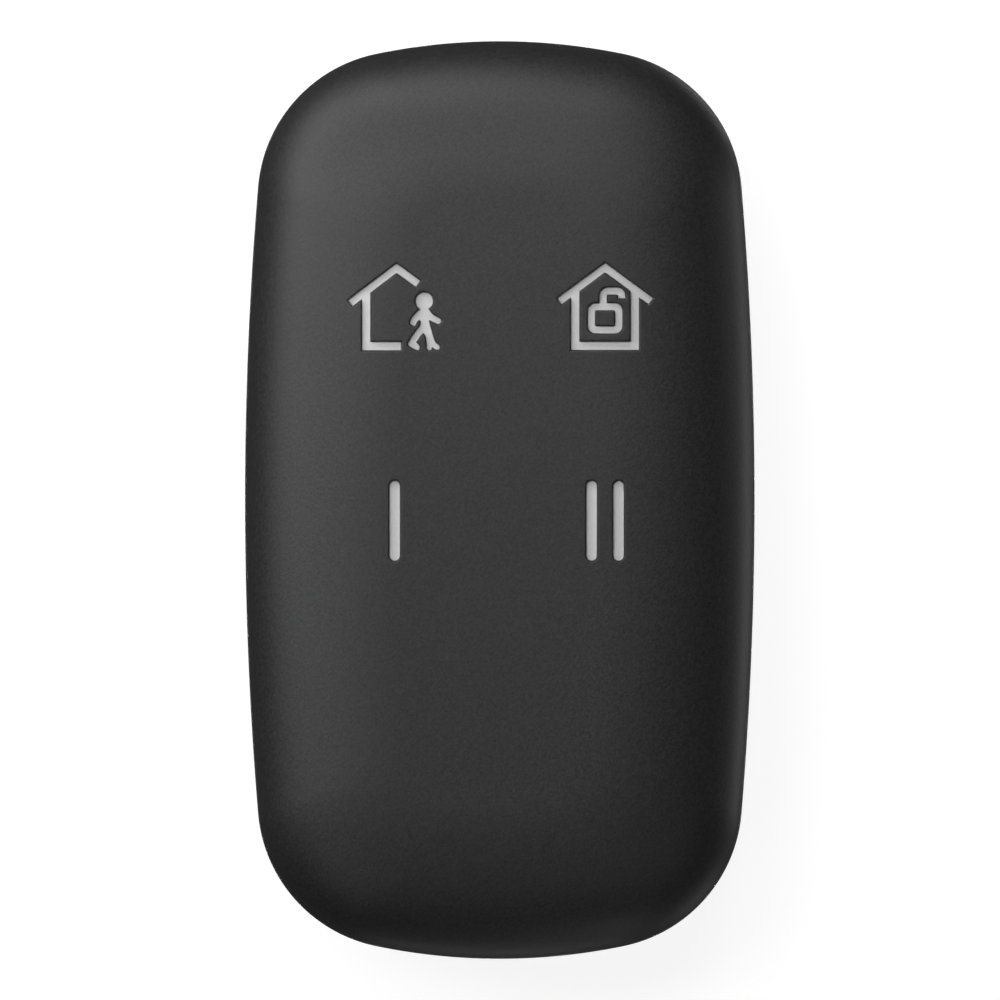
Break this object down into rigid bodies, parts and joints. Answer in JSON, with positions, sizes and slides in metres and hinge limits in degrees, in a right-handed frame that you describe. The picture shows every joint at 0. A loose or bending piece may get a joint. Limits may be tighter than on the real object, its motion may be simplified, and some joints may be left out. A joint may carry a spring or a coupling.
{
  "type": "alarm key fob",
  "caption": "Pebble-shaped alarm remote for a key ring: soft dark front with raised pictogram keys that press in, hard rear with a twist-off battery door and a cross pin.",
  "frame": {"origin": "middle of the flat rear face that the fob lies on", "axes": "+Z out of the front with the keys, +Y towards the keyring end, +X to the right seen from the front"},
  "size_m": [0.0362, 0.065, 0.013],
  "materials": {
    "soft_skin": "matte, fine leathery soft-touch grain",
    "front_plastic": "matte moulded",
    "rear_plastic": "fine spark-eroded texture",
    "gasket_rubber": "smooth matt",
    "screw_steel": "zinc plated",
    "pin_steel": "ground and polished",
    "key_plastic": "matte moulded, light grey",
    "board_laminate": "green solder mask",
    "switch_plastic": "matte moulded",
    "switch_plate": "stamped, tin plated",
    "stem_plastic": "ivory moulded",
    "dome_steel": "rolled spring steel",
    "terminal_tin": "tin plated",
    "chip_epoxy": "moulded epoxy",
    "crystal_can": "plated can",
    "antenna_brass": "stamped strip",
    "passive_ceramic": "sintered ceramic",
    "cell_can": "nickel plated",
    "contact_bronze": "plated spring strip",
    "door_plastic": "fine spark-eroded texture",
    "seal_rubber": "smooth silicone"
  },
  "bodies": {
    "case": {"front_skin": "soft_skin", "front_frame": "front_plastic", "rear_cover": "rear_plastic", "case_gasket": "gasket_rubber", "case_screws": "screw_steel", "keyring_pin": "pin_steel", "circuit_board": "board_laminate", "switch_base_away": "switch_plastic", "switch_base_disarm": "switch_plastic", "switch_base_one": "switch_plastic", "switch_base_two": "switch_plastic", "switch_cover_away": "switch_plate", "switch_cover_disarm": "switch_plate", "switch_cover_one": "switch_plate", "switch_cover_two": "switch_plate", "switch_dome_away": "dome_steel", "switch_dome_disarm": "dome_steel", "switch_dome_one": "dome_steel", "switch_dome_two": "dome_steel", "switch_terminals": "terminal_tin", "radio_chip": "chip_epoxy", "crystal": "crystal_can", "antenna_strip": "antenna_brass", "chip_passives": "passive_ceramic", "coin_cell": "cell_can", "negative_contact": "contact_bronze", "positive_contact": "contact_bronze"},
    "key_away": {"key_away": "key_plastic", "switch_stem_away": "stem_plastic"},
    "key_disarm": {"key_disarm": "key_plastic", "sign_inlay": "soft_skin", "switch_stem_disarm": "stem_plastic"},
    "key_one": {"key_one": "key_plastic", "switch_stem_one": "stem_plastic"},
    "key_two": {"key_two": "key_plastic", "switch_stem_two": "stem_plastic"},
    "battery_door": {"battery_door": "door_plastic", "door_seal": "seal_rubber"}
  },
  "joints": [
    {"name": "press_away", "type": "slide", "parent": "case", "child": "key_away", "axis": [0, 0, -1], "range_m": [0, 0.0003], "stiffness_N_per_m": 3000, "deforming": ["switch_dome_away"]},
    {"name": "press_disarm", "type": "slide", "parent": "case", "child": "key_disarm", "axis": [0, 0, -1], "range_m": [0, 0.0003], "stiffness_N_per_m": 3000, "deforming": ["switch_dome_disarm"]},
    {"name": "press_one", "type": "slide", "parent": "case", "child": "key_one", "axis": [0, 0, -1], "range_m": [0, 0.0003], "stiffness_N_per_m": 3000, "deforming": ["switch_dome_one"]},
    {"name": "press_two", "type": "slide", "parent": "case", "child": "key_two", "axis": [0, 0, -1], "range_m": [0, 0.0003], "stiffness_N_per_m": 3000, "deforming": ["switch_dome_two"]},
    {"name": "door_twist", "type": "hinge", "parent": "case", "child": "battery_door", "pos_m": [0, -0.011, 0], "axis": [0, 0, -1], "range_deg": [0, 40]}
  ]
}
